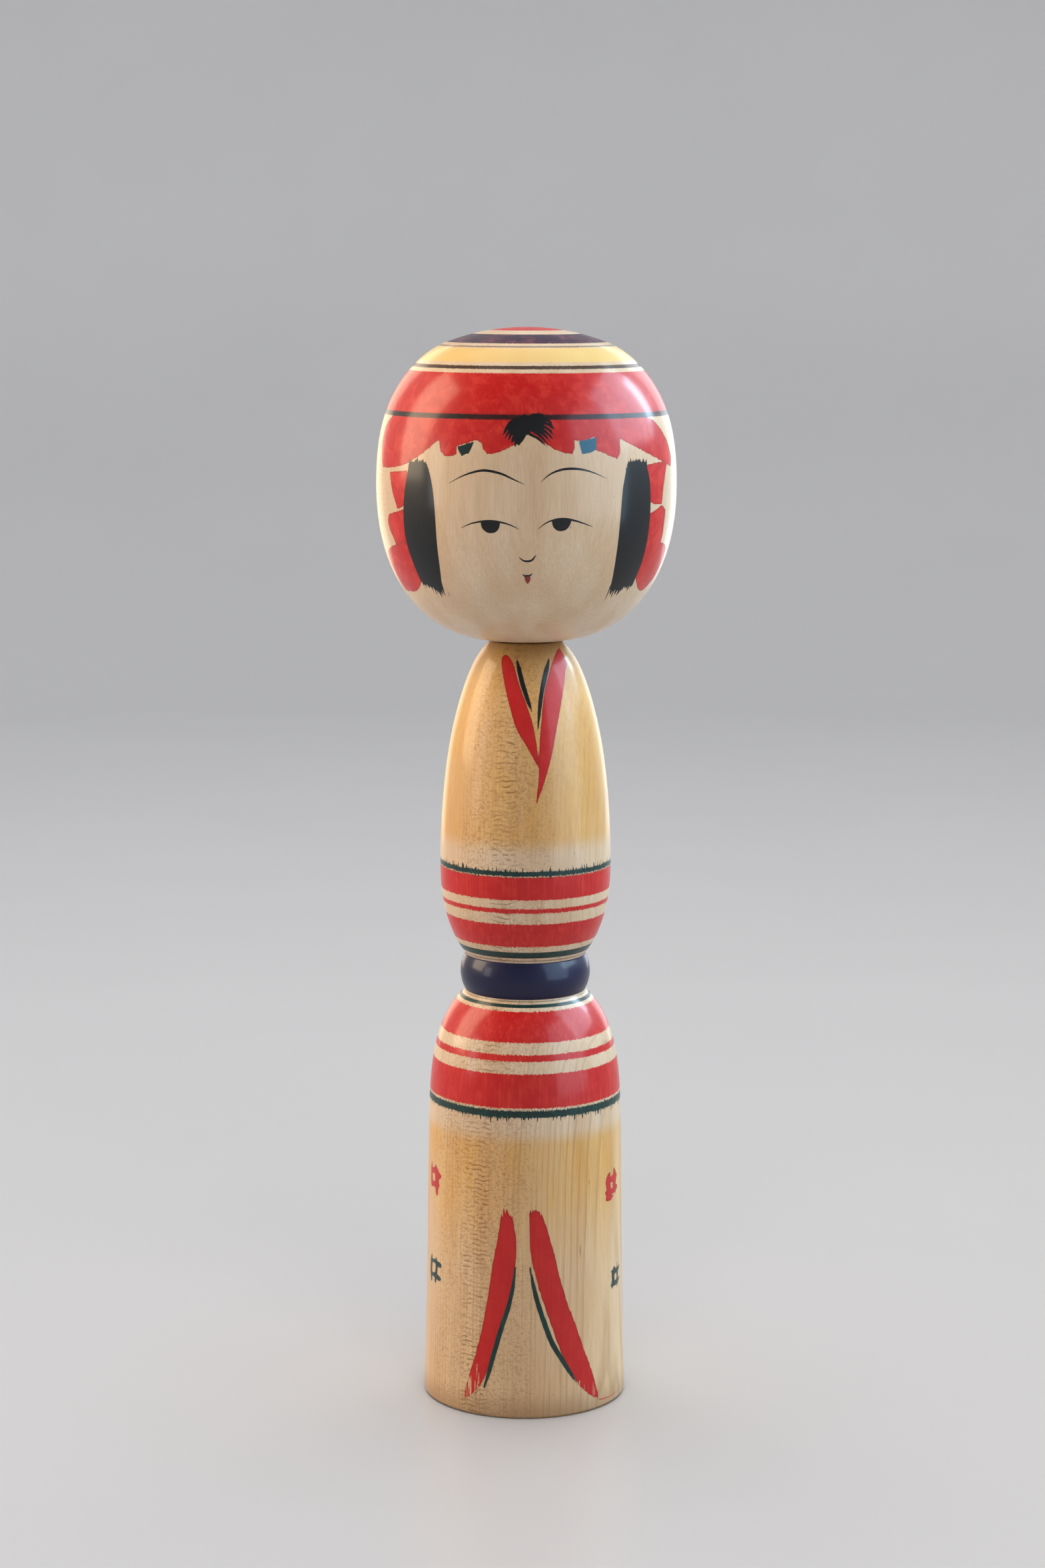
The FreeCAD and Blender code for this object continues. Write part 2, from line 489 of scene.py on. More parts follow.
FRINGE = (
    [(-57, 63.4), (-69.7, 61.9), (-73.8, 59.5), (-74.7, 55.4), (-73.1, 51.5)],
    [(-71, 48.2), (-60, 48.7), (-52, 49.8), (-44, 52.4)], [(-35.2, 56.7), (-33.9, 53.8)],
    [(-32.2, 52.5), (-29.5, 52.5)], [(-26.9, 53)], [(-27, 55.2), (-23.3, 56)], [(-19, 57)],
    [(-17, 56.2), (-16.3, 54.5)], [(-14.7, 53.4), (-11.5, 53.6), (-7.5, 54.7)], [(-3.6, 56.2)],
    [(0.6, 58.8), (7.5, 55.9), (11, 54.4)], [(17.2, 53.3), (18, 54.6)], [(18.2, 57.1), (19.9, 56.8)],
    [(27.1, 57.7)], [(26.8, 54.2), (31, 53.1)], [(36.3, 51.7), (37.2, 53)],
    [(38, 57.1), (45, 54.9), (58.8, 51.2)],
    [(71.6, 48.5), (72.7, 51), (71, 54.3), (67.3, 57.6), (62, 60.8)], [(55, 62.9), (0, 64.2)],
)

LEFT_SIDE_HAIR = (
    (
        [(-63.1, 47.3)], [(-50.5, 48.1), (-51, 43)], [(-51.5, 39.2), (-55, 37.9)],
        [(-57.4, 37.4), (-60, 41), (-62, 44.3)],
    ),
    (
        [(-64.8, 35.7), (-59, 36.6)], [(-50.5, 38)], [(-50.5, 28.5), (-56.5, 28.3)],
        [(-62.2, 27.4), (-63.4, 29.2), (-65.7, 31.4), (-66.5, 33.8)],
    ),
    (
        [(-60.8, 27.7)], [(-50.5, 29)],
        [(-49.8, 18.5), (-53, 16.6), (-58, 15), (-66.3, 14.3), (-73.4, 14.8), (-76.4, 18.4),
         (-77.4, 21.3), (-75.6, 24.2), (-69, 26.4)],
    ),
)

RIGHT_SIDE_HAIR = (
    (
        [(51, 49.7), (60, 50.2)], [(67.2, 49.8), (65, 46.5), (62.9, 41.5)], [(62.2, 38.8), (57, 38.9)],
        [(51.5, 40.2)],
    ),
    (
        [(51.5, 36.2), (57, 37.2), (62.6, 38.3)], [(66.1, 37), (66, 33), (66.2, 29.4)],
        [(65.7, 28.1), (71, 27.4)],
        [(75.6, 25.8), (76.1, 23), (75.4, 19.2), (71.3, 16.7), (67, 14.8), (61.6, 15), (56.5, 16.8)],
        [(51.5, 20)],
    ),
)

LEFT_LOCK = (
    [(-49.4, 50.7), (-45, 51.2)],
    [(-40.4, 50.6), (-38.4, 47.4), (-36.9, 43), (-36.2, 36.7), (-36.4, 29), (-37.2, 22)],
    [(-39.6, 14.8), (-45, 15.7)], [(-51.2, 17.4), (-52.4, 22.7), (-53.8, 29), (-53.6, 35), (-52.3, 42)],
)

RIGHT_LOCK = (
    [(40.9, 50.9), (45, 51.4)], [(50.7, 50.8), (52.6, 47), (53.7, 40.5), (54.1, 31), (54, 24)],
    [(53, 17), (47, 15.6)], [(39.5, 14.9), (38.2, 20.5), (37.4, 28.5), (37.5, 37), (38.3, 44)],
)


def paint_fringe(red, green):
    """The red fringe under the dark hair line, its two dark tufts and the hair at the sides."""
    red.shape(*FRINGE, ragged=0.16)
    for side_hair in (LEFT_SIDE_HAIR, RIGHT_SIDE_HAIR):
        for lock in side_hair:
            red.shape(*lock, ragged=0.12)
    green.shape(
        [(-27, 55.1), (-23.3, 55.9)], [(-20, 56.6), (-21, 54.8)], [(-21.6, 53.6)],
        [(-25, 52.6), (-25.8, 53.6)],
        ragged=0.14,
    )
    green.shape(
        [(19.9, 56.7), (23.5, 57.1)], [(27.2, 57.7), (27, 55.5)], [(26.8, 54.3), (24, 53.6)],
        [(21, 53.3), (20.6, 54.6)],
        ragged=0.1,
    )


def paint_locks(ink):
    """The black side locks, bristled at both ends."""
    for lock in (LEFT_LOCK, RIGHT_LOCK):
        ink.shape(*lock, ragged=0.04, top=0.8, foot=2.0, reach=3.4)


def paint_forelock(ink):
    """The parted forelock: two fans of brush hairs that meet under the hair line."""
    ink.shape(
        [(-0.8, 64), (-3.2, 62.9), (-5, 61)], [(-5.8, 59.2), (-5, 57.6), (-4, 56.1)],
        [(-3, 55.6), (-1.3, 57)], [(0.3, 58.5), (0.7, 61.3), (0.4, 63.2)],
        ragged=0.14,
    )
    ink.shape(
        [(0.3, 63.2), (1.9, 63.9), (4.4, 64.1), (7, 63.5)],
        [(8, 62.4), (6.9, 61), (5.4, 60.1), (3.4, 59.7), (1.7, 59.6)], [(0.3, 58.5)],
        ragged=0.14,
    )
    hairs = (
        ((-4, 62.6), (-8.7, 59.3)), ((-4.2, 61.6), (-9.2, 58.2)), ((-4.4, 60.6), (-8.2, 57.3)),
        ((-4, 59.8), (-6.9, 56.8)), ((-3.6, 58.8), (-5.6, 55.9)), ((-2.6, 57.8), (-4.3, 55.3)),
        ((6.2, 62.8), (10.4, 60.7)), ((6.2, 61.8), (11.2, 59.3)), ((5.4, 61), (10.7, 58)),
        ((4.2, 60.5), (10.3, 56.9)), ((2.8, 60.2), (9.2, 56.4)), ((1.4, 59.9), (8.2, 55.8)),
        ((0.5, 58.9), (7.6, 55.2)),
    )
    for root, tip in hairs:
        bow = 0.5 if tip[0] > 0 else -0.5
        middle = (0.5 * (root[0] + tip[0]) + bow, 0.5 * (root[1] + tip[1]) + 0.25)
        thick = 1.0 if tip[0] < 0 else 0.8
        ink.stroke([root, middle, tip], [thick, thick, 0.85 * thick, 0.6 * thick, 0.12], 0.08)


def paint_face(pen, ink, lip):
    """The brows, half-closed eyes, nose and small mouth."""
    brow_widths = [0.1, 0.24, 0.42, 0.6, 0.7, 0.68, 0.56, 0.36, 0.1]
    pen.stroke(
        [(-29.9, 45.3), (-24.5, 47.3), (-20.3, 48.4), (-16, 49), (-12.9, 48.8), (-9, 48.1),
         (-4.4, 46.6), (-0.7, 45.4)],
        brow_widths,
    )
    pen.stroke(
        [(5.2, 46), (8, 47.8), (12, 49.1), (16.6, 49.5), (21, 49.2), (25.5, 48.3), (30.8, 46.7)],
        brow_widths[::-1],
    )
    lid_widths = [0.1, 0.28, 0.42, 0.54, 0.6, 0.56, 0.44, 0.32, 0.12]
    pen.stroke(
        [(-25.1, 33.5), (-21.3, 34.7), (-17.9, 35.3), (-13.8, 35.6), (-9.5, 35.3), (-6, 34.6),
         (-2.7, 33.5)],
        lid_widths,
    )
    pen.stroke(
        [(4.2, 33.5), (7.4, 35.2), (11, 36.1), (14.2, 36.2), (18, 35.7), (21.6, 34.9), (25.4, 33.9)],
        lid_widths,
    )
    ink.shape(
        [(-17.2, 35.3), (-13.6, 35.6)],
        [(-9.8, 35.3), (-10.2, 33.7), (-11.4, 32.7), (-13.5, 32.3), (-15.6, 32.8), (-16.9, 33.9)],
        ragged=0.03,
    )
    ink.shape(
        [(9.3, 35.8), (13, 36.1)],
        [(16.9, 35.9), (16.4, 34.6), (15.3, 33.5), (13.2, 32.9), (11, 33.3), (9.7, 34.4)],
        ragged=0.03,
    )
    pen.stroke(
        [(-2.9, 25.9), (-1.2, 25), (0.4, 24.8), (2.1, 25.1), (3.7, 26.5)],
        [0.15, 0.4, 0.55, 0.6, 0.5, 0.2],
    )
    pen.stroke(
        [(-1.5, 21.2), (-0.7, 20.75), (0.3, 20.85), (1.2, 20.8), (2.3, 21.4)],
        [0.2, 0.5, 0.45, 0.5, 0.2],
    )
    lip.shape(
        [(-0.9, 20.5), (0.4, 20.7)], [(1.8, 20.5), (1.5, 19.3), (0.5, 18.5), (-0.3, 19.2)],
        ragged=0.03,
    )


# ---- Finishes: wood, dyes and varnish as shader nodes ----


def screen_colour(red, green, blue):
    """A colour given in screen values of 0 to 255, as the linear values that Blender uses."""
    shares = [value / 255 for value in (red, green, blue)]
    return tuple(
        share / 12.92 if share <= 0.04045 else ((share + 0.055) / 1.055) ** 2.4
        for share in shares
    )


class Finish:
    """One material's shader nodes, with short ways to add and join them."""

    def __init__(self, name, girth=24.0):
        self.material = bpy.data.materials.new(name)
        self.material.use_nodes = True
        self.tree = self.material.node_tree
        self.tree.nodes.clear()
        source = self.add("ShaderNodeTexCoord").outputs["Object"]
        self.place = self.vector_maths("MULTIPLY", source, (1 / MM, 1 / MM, 1 / MM))
        self.x, self.y, self.z = self.split(self.place)
        squares = self.maths("ADD", self.times(self.x, self.x), self.times(self.y, self.y))
        self.radius = self.maths("SQRT", squares)
        # The painted surface unrolled flat: millimetres round the piece, and height.
        turn = self.maths("ARCTAN2", self.x, self.times(self.y, -1.0))
        flat = {"X": self.times(turn, girth), "Y": 0.0, "Z": self.z}
        self.sheet = self.add("ShaderNodeCombineXYZ", flat).outputs[0]

    def add(self, kind, inputs=None, **settings):
        """A new node of a kind, its inputs fed by name or by place."""
        node = self.tree.nodes.new(kind)
        for name, value in settings.items():
            setattr(node, name, value)
        for key, value in (inputs or {}).items():
            self.feed(node.inputs[key], value)
        return node

    def feed(self, socket, value):
        """Links an output to a socket, or sets the socket's own value."""
        if isinstance(value, bpy.types.NodeSocket):
            self.tree.links.new(value, socket)
        elif socket.type == "RGBA":
            socket.default_value = (*value, 1.0)
        else:
            socket.default_value = value

    def maths(self, operation, *values):
        """A sum done on numbers."""
        return self.add("ShaderNodeMath", dict(enumerate(values)), operation=operation).outputs[0]

    def vector_maths(self, operation, first, second):
        """A sum done on places."""
        inputs = {0: first, 1: second}
        return self.add("ShaderNodeVectorMath", inputs, operation=operation).outputs[0]

    def times(self, product, *others):
        """Everything multiplied together."""
        for other in others:
            product = self.maths("MULTIPLY", product, other)
        return product

    def scaled(self, value, factor, added):
        """The value times the factor, and then what is added."""
        return self.maths("MULTIPLY_ADD", value, factor, added)

    def split(self, vector):
        """A place's three numbers."""
        return self.add("ShaderNodeSeparateXYZ", {0: vector}).outputs

    def ramp(self, value, low, high, start=0.0, end=1.0):
        """Goes smoothly from start to end as value goes from low to high."""
        inputs = {"Value": value, "From Min": low, "From Max": high, "To Min": start, "To Max": end}
        node = self.add("ShaderNodeMapRange", inputs, interpolation_type="SMOOTHSTEP")
        return node.outputs["Result"]

    def noise(self, lengths, seed=0.0, detail=2.0, roughness=0.5, distortion=0.0, vector=None):
        """Noise from 0 to 1 whose features are about as long as given, in mm, each way."""
        factors = tuple(1 / length for length in lengths)
        place = self.vector_maths("MULTIPLY", vector or self.place, factors)
        inputs = {
            "Vector": self.vector_maths("ADD", place, (seed, 0.7 * seed, 1.3 * seed)),
            "Scale": 1.0, "Detail": detail, "Roughness": roughness, "Distortion": distortion,
        }
        return self.add("ShaderNodeTexNoise", inputs).outputs[0]

    def bristles(self, width, length, seed):
        """From about -1 to 1 in upright streaks, as a brush's hairs leave them."""
        streak = self.noise((width, 1.0, length), seed, detail=1, vector=self.sheet)
        return self.scaled(streak, 4.0, -2.0)

    def mix(self, share, first, second, blend="MIX"):
        """A share of the second colour over the first."""
        node = self.add("ShaderNodeMix", {"Factor": share}, data_type="RGBA", blend_type=blend)
        colours = [socket for socket in node.inputs if socket.type == "RGBA"]
        self.feed(colours[0], first)
        self.feed(colours[1], second)
        return [socket for socket in node.outputs if socket.type == "RGBA"][0]

    def coats(self, colour, *coats):
        """Colours laid over a first one in turn, each given as its cover and itself."""
        for cover, dye in coats:
            colour = self.mix(cover, colour, dye)
        return colour

    def layer(self, name):
        """A brush layer's three values."""
        return self.split(self.add("ShaderNodeAttribute", attribute_name=name).outputs["Vector"])

    def brushed(self, name, streak, softness=0.09):
        """Where a brush layer has covered the wood, with ragged ends and a dry foot."""
        distance, ragged, dry = self.layer(name)
        cover = self.ramp(self.scaled(ragged, streak, distance), -softness, softness, 1.0, 0.0)
        lifted = self.scaled(streak, 0.5, 0.5)
        wet = self.ramp(self.maths("SUBTRACT", lifted, dry), -0.02, 0.14)
        drying = self.maths("GREATER_THAN", dry, 0.02)
        return self.times(cover, self.maths("MAXIMUM", wet, self.maths("SUBTRACT", 1.0, drying)))

    def edged_red(self, red, dyes, strength):
        """The brush's red, darker where it dried just inside the edge of a stroke."""
        rim = self.ramp(self.layer("red")[0], -0.55, -0.1)
        return self.mix(self.times(rim, strength), red, dyes.red_edge)

    def penned(self, name, softness=0.05):
        """Where a pen layer's fine lines lie."""
        side, half, _ = self.layer(name)
        distance = self.maths("SUBTRACT", self.maths("ABSOLUTE", side), half)
        return self.ramp(distance, -softness, softness, 1.0, 0.0)

    def rings(self, along, bands, spread=0.0, softness=0.1):
        """Where any of the turned bands (low, high) lies, widened by spread mm."""
        nearest = None
        for low, high in bands:
            off = self.maths("ABSOLUTE", self.maths("SUBTRACT", along, (low + high) / 2))
            edge = self.maths("SUBTRACT", off, (high - low) / 2)
            nearest = edge if nearest is None else self.maths("MINIMUM", nearest, edge)
        if spread:
            nearest = self.maths("SUBTRACT", nearest, spread)
        return self.ramp(nearest, -softness, softness, 1.0, 0.0)

    def surface(self, colour, roughness, **inputs):
        """Ends the material with one surface of a colour and roughness."""
        inputs = {"Base Color": colour, "Roughness": roughness, **inputs}
        shader = self.add("ShaderNodeBsdfPrincipled", inputs)
        self.add("ShaderNodeOutputMaterial", {0: shader.outputs[0]})
        return self.material

    def varnished(self, colour, roughness, relief, relief_depth, varnish):
        """Ends the material with a varnished surface whose relief is relief_depth mm deep."""
        bump = self.add("ShaderNodeBump", {"Height": relief, "Distance": relief_depth * MM})
        return self.surface(colour, roughness, **{
            "Normal": bump.outputs["Normal"],
            "Coat Weight": varnish.gloss,
            "Coat Roughness": varnish.gloss_roughness,
            "Specular IOR Level": varnish.under_gloss,
        })


def wood_grain(finish, wood, face, face_turn, flecks, rings, seed):
    """The bare wood's colour and relief: growth rings, ray flecks, pores and fibres.

    The rays lie flat in the surface at the angle face, turning by face_turn degrees up the
    piece. They show there as a ladder of level dashes, and as fine worm marks further round.
    """
    climb = finish.ramp(finish.z, 60, 180)
    angle = finish.scaled(climb, -math.radians(face_turn), -math.radians(face))
    inputs = {"Vector": finish.place, "Angle": angle}
    log = finish.add("ShaderNodeVectorRotate", inputs, rotation_type="Z_AXIS").outputs[0]
    across, depth, _ = finish.split(log)

    wander = finish.noise((12, 12, 110), seed, vector=log)
    saw = finish.maths("FRACT", finish.scaled(across, 1 / wood.ring_gap, finish.times(wander, 2.6)))
    late = finish.times(
        finish.ramp(saw, 0.55, 0.93),
        finish.ramp(saw, 0.93, 1.0, 1.0, 0.0),
        finish.ramp(finish.noise((2.2, 9, 60), seed + 3, vector=log), 0.38, 0.62, 0.1, 1.0),
        finish.ramp(finish.z, 120, 160, 1.0, 0.45),
    )

    depth = finish.maths("ABSOLUTE", depth)
    flat = finish.maths("DIVIDE", depth, finish.maths("ADD", finish.radius, 0.1))
    sag = finish.noise((3.5, 3, 5), seed + 5, detail=1, vector=log)
    step = finish.scaled(finish.z, 1 / RUNG_GAP, finish.times(sag, 1.7))
    off = finish.maths("ABSOLUTE", finish.maths("SUBTRACT", finish.maths("FRACT", step), 0.5))
    rung = finish.times(
        finish.ramp(off, 0.1, 0.24, 1.0, 0.0),
        finish.ramp(finish.noise((2.4, 3, 1.1), seed + 4, vector=log), 0.42, 0.52),
        finish.ramp(flat, 0.979, 0.991),
        finish.ramp(finish.noise((9, 9, 8), seed + 6), 0.34, 0.56, 0.3, 1.0),
    )
    worm = finish.noise((1.0, 0.7, 0.62), seed + 7, detail=1, distortion=0.9, vector=log)
    worm = finish.times(finish.ramp(worm, 0.5, 0.62), finish.ramp(flat, 0.74, 0.93, 0.0, 0.48))
    patch = finish.ramp(finish.noise((8, 8, 18), seed + 9), 0.3, 0.6, 0.5, 1.0)
    fleck = finish.times(finish.maths("MAXIMUM", rung, worm), patch)

    fibre = finish.noise((0.4, 0.4, 10), seed + 11, detail=3, roughness=0.6)
    broad = finish.ramp(finish.noise((9, 9, 90), seed + 13), 0.3, 0.7)
    speck = finish.ramp(finish.noise((0.5, 0.5, 2.4), seed + 17, detail=1), 0.76, 0.81)
    colour = finish.coats(
        finish.mix(broad, wood.pale, wood.warm),
        (finish.times(late, rings), wood.ring),
        (finish.times(fleck, flecks), wood.fleck),
        (finish.ramp(fibre, 0.3, 0.7, 0.2, 0.0), wood.ring),
        (finish.times(speck, 0.45), wood.pore),
    )
    relief = finish.scaled(late, 0.3, finish.scaled(fleck, -0.6, fibre))
    return colour, relief, fibre


def dye_colour(finish, dyes, name, seed, streaky, blotchy):
    """A dye that took unevenly: streaks along the grain and watery blotches."""
    streak = finish.noise((0.7, 0.7, 22), seed)
    blotch = finish.noise((4.2, 4.2, 4.2), seed + 2, detail=4, roughness=0.62, distortion=0.5)
    thinness = finish.times(finish.ramp(streak, 0.45, 0.75), streaky)
    thinness = finish.scaled(finish.ramp(blotch, 0.42, 0.68), blotchy, thinness)
    deep, thin = getattr(dyes, name), getattr(dyes, name + "_thin")
    return finish.mix(finish.maths("MINIMUM", thinness, 1.0), deep, thin)


# Turned bands, as (low, high) in mm above the foot.
RED_BANDS = ((147.6, 154.1), (143.8, 145.1), (133.7, 140.6), (107.3, 115.2), (102.3, 104.1),
             (89.4, 98.9))
TICKED_BANDS = ((154.4, 155.7), (86.8, 88.7))
CLEAN_BANDS = ((130.1, 132.0), (116.1, 116.9))
BEAD_BAND = ((118.05, 128.5),)
GROOVE_LINES = ((129.1, 129.4), (117.45, 117.7))
# Where the yellow wash of the skirt fades out, and where that of the torso fades in.
SKIRT_WASH = (78.0, 83.5)
TORSO_WASH = (159.5, 165.5)

# Turned bands of the head, as (low, high) in mm above its underside, then out from its crown.
HAIR_BAND = ((63.0, 74.4),)
HAIR_LINE = ((62.35, 63.7),)
OLIVE_LINE = ((75.4, 76.3),)
YELLOW_BAND = ((77.2, 80.8),)
CROWN_LINE = ((81.02, 81.36),)
PURPLE_RING = ((14.8, 22.1),)
CROWN_DISC = ((-1.0, 10.2),)


def ticked(finish, along, seed):
    """A turned edge whose dye crept along the grain, in many short ticks and a few long ones."""
    short = finish.noise((0.34, 1.0, 8), seed, detail=1, vector=finish.sheet)
    long = finish.noise((0.4, 1.0, 9), seed + 4, detail=0, vector=finish.sheet)
    spread = finish.maths("ADD", finish.ramp(short, 0.5, 0.68, 0.0, 0.55),
                          finish.ramp(long, 0.62, 0.76, 0.0, 1.1))
    return finish.rings(along, TICKED_BANDS, spread)


def body_finish(wood, dyes, varnish):
    """The body's wood, yellow wash, turned bands, brush marks, and painted shade under the head."""
    finish = Finish("body_painted_wood", girth=26.0)
    colour, relief, fibre = wood_grain(
        finish, wood, face=-30, face_turn=16, flecks=0.74, rings=0.36, seed=2.0
    )
    height = finish.maths("SUBTRACT", finish.z, FOOT_HEIGHT)
    skirt = finish.times(
        finish.ramp(height, *SKIRT_WASH, 1.0, 0.0), finish.ramp(height, 36, 74, 0.42, 1.0)
    )
    covered = finish.maths("MAXIMUM", skirt, finish.ramp(height, *TORSO_WASH))
    uneven = finish.ramp(finish.noise((8, 8, 30), 21, detail=3), 0.3, 0.7, 0.7, 1.0)
    colour = finish.mix(finish.times(covered, uneven), colour, dyes.wash, "MULTIPLY")

    edge = finish.scaled(finish.bristles(0.3, 7, 31), 0.24, height)
    red_dye = dye_colour(finish, dyes, "red", 41, streaky=0.45, blotchy=0.25)
    green_dye = dye_colour(finish, dyes, "green", 43, streaky=0.5, blotchy=0.3)
    brush_red = dye_colour(finish, dyes, "red", 41, streaky=0.16, blotchy=0.14)
    streak = finish.bristles(0.42, 9, 51)
    colour = finish.coats(
        colour,
        (finish.ramp(height, 0.2, 9.0, 0.5, 0.0), wood.fleck),
        # Painted shade: the torso is darkened with brown towards the neck, where the head shades it.
        (finish.ramp(height, 200, 217, 0.0, 0.35), wood.fleck),
        (finish.rings(edge, RED_BANDS), red_dye),
        (ticked(finish, edge, 33), green_dye),
        (finish.rings(height, CLEAN_BANDS), green_dye),
        (finish.rings(height, BEAD_BAND), dyes.bead),
        (finish.times(finish.rings(height, GROOVE_LINES, softness=0.15), 0.6), dyes.ink),
        (finish.brushed("red", streak), finish.edged_red(brush_red, dyes, 0.4)),
        (finish.brushed("green", streak), green_dye),
        (finish.brushed("ink", streak), dyes.ink),
        (finish.times(finish.penned("pen"), 0.75), dyes.red),
    )
    roughness = finish.scaled(fibre, 0.12, varnish.roughness)
    return finish.varnished(colour, roughness, relief, 0.02, varnish)


def head_finish(wood, dyes, varnish):
    """The head's wood, turned bands, hair and face."""
    finish = Finish("head_painted_wood", girth=40.0)
    colour, relief, fibre = wood_grain(
        finish, wood, face=105, face_turn=0, flecks=0.16, rings=0.12, seed=61.0
    )
    height = finish.maths("SUBTRACT", finish.z, CHIN_HEIGHT)
    edge = finish.scaled(finish.bristles(0.3, 7, 71), 0.1, height)
    red_dye = dye_colour(finish, dyes, "red", 73, streaky=0.2, blotchy=0.6)
    purple_dye = dye_colour(finish, dyes, "purple", 79, streaky=0.0, blotchy=0.8)
    streak = finish.bristles(0.5, 7, 75)
    faded = finish.ramp(finish.noise((12, 12, 3), 77, detail=3), 0.35, 0.65, 0.92, 1.0)
    crown = finish.ramp(height, 80.9, 81.1)
    outward = finish.scaled(finish.bristles(0.5, 7, 78), 0.15, finish.radius)
    # The fringe's two tufts are teal on the doll's left and green on its right.
    tuft = finish.mix(finish.ramp(finish.x, -3, 3), dyes.green, dyes.teal)
    colour = finish.coats(
        colour,
        (finish.times(finish.rings(edge, YELLOW_BAND), 0.8), dyes.yellow),
        (finish.rings(edge, HAIR_BAND), red_dye),
        (finish.brushed("red", streak), finish.edged_red(red_dye, dyes, 0.35)),
        (finish.times(finish.rings(edge, HAIR_LINE, softness=0.14), faded), dyes.hair_line),
        (finish.times(finish.rings(edge, OLIVE_LINE, softness=0.1), 0.97), dyes.olive),
        (finish.times(finish.rings(edge, CROWN_LINE, softness=0.12), 0.7), dyes.olive),
        (finish.times(finish.rings(outward, PURPLE_RING), crown), purple_dye),
        (finish.times(finish.rings(outward, CROWN_DISC), crown), red_dye),
        (finish.brushed("green", streak), tuft),
        (finish.brushed("lip", streak), dyes.lip),
        (finish.brushed("ink", streak), dyes.ink),
        (finish.penned("pen"), dyes.ink),
    )
    roughness = finish.scaled(fibre, 0.1, varnish.roughness)
    return finish.varnished(colour, roughness, relief, 0.012, varnish)


def peg_finish(wood, _, varnish):
    """The plain, unpainted peg."""
    finish = Finish("peg_wood")
    colour, relief, fibre = wood_grain(
        finish, wood, face=40, face_turn=0, flecks=0.5, rings=0.6, seed=91.0
    )
    return finish.varnished(colour, finish.scaled(fibre, 0.2, 0.55), relief, 0.03, varnish)


def stage_finish(colour, roughness):
    """The pale board that the doll stands on, faintly clouded."""
    finish = Finish("stage_board")
    cloud = finish.noise((120, 120, 120), 5)
    darker = tuple(0.85 * part for part in colour)
    shade = finish.mix(finish.ramp(cloud, 0.3, 0.7, 0.0, 0.1), colour, darker)
    return finish.surface(shade, finish.scaled(cloud, 0.06, roughness))


# ---- Sizes and colours a user may change ----


def swatch(name, description, *screen_values):
    """A colour swatch whose default is given in screen values."""
    start = screen_colour(*screen_values)
    return FloatVectorProperty(
        name=name, description=description, subtype="COLOR", size=3, min=0.0, max=1.0, default=start
    )


def number(name, description, default, low=0.0, high=1.0):
    """A plain number between two limits."""
    return FloatProperty(name=name, description=description, default=default, min=low, max=high)


def measure(name, description, default, unit):
    """A length or an angle."""
    return FloatProperty(name=name, description=description, default=default, unit=unit)


def watts(name, light, default):
    """The power of a light."""
    return FloatProperty(name=name, description=f"Power of the {light}, in watts", default=default)


class KokeshiWood(bpy.types.PropertyGroup):
    """The bare wood."""

    pale: swatch("Pale wood", "Palest of the bare wood", 220, 197, 169)
    warm: swatch("Warm wood", "Broad warmer streaks of the bare wood", 209, 180, 147)
    ring: swatch("Growth rings", "Late wood of the growth rings", 146, 112, 78)
    fleck: swatch("Ray flecks", "Dashes and worm marks of the rays", 124, 86, 50)
    pore: swatch("Pores", "Small dark specks", 96, 66, 42)
    ring_gap: number("Ring gap", "Millimetres from ring to ring", 1.15, 0.3, 8.0)


class KokeshiDyes(bpy.types.PropertyGroup):
    """The dyes and inks."""

    wash: swatch("Yellow wash", "Tint laid over the torso and skirt", 255, 226, 158)
    red: swatch("Red", "Red dye at full strength", 184, 12, 10)
    red_thin: swatch("Thin red", "Red dye where it took thinly", 212, 58, 44)
    red_edge: swatch("Red edge", "Red where a brush stroke dried at its edge", 110, 10, 10)
    green: swatch("Green", "Dark green dye", 2, 36, 34)
    green_thin: swatch("Thin green", "Green dye where it took thinly", 8, 74, 64)
    teal: swatch("Teal", "The brighter of the two fringe tufts", 14, 84, 112)
    bead: swatch("Bead blue", "Dark blue of the waist bead", 6, 7, 52)
    purple: swatch("Purple", "Ring round the crown", 50, 26, 52)
    purple_thin: swatch("Thin purple", "Ring where the dye took thinly", 112, 62, 74)
    yellow: swatch("Yellow", "Yellow of the band under the crown", 228, 190, 104)
    olive: swatch("Olive", "Thin dark lines above the red hair band", 56, 28, 6)
    hair_line: swatch("Hair line", "Dark line above the fringe", 9, 4, 4)
    ink: swatch("Ink", "Black of the hair and face", 4, 4, 7)
    lip: swatch("Lip", "Lower lip", 128, 40, 38)


class KokeshiVarnish(bpy.types.PropertyGroup):
    """The wax and varnish."""

    roughness: number("Roughness", "Roughness of the polished wood", 0.4, 0.05)
    under_gloss: number("Under gloss", "How much the wood itself shines under the varnish", 0.2)
    gloss: number("Gloss", "How much clear varnish lies on top", 0.42)
    gloss_roughness: number("Gloss roughness", "How blurred the varnish's reflections are", 0.16)
    edge_round: number("Edge rounding", "Millimetres that the turned edges are softened", 0.25, 0.02)


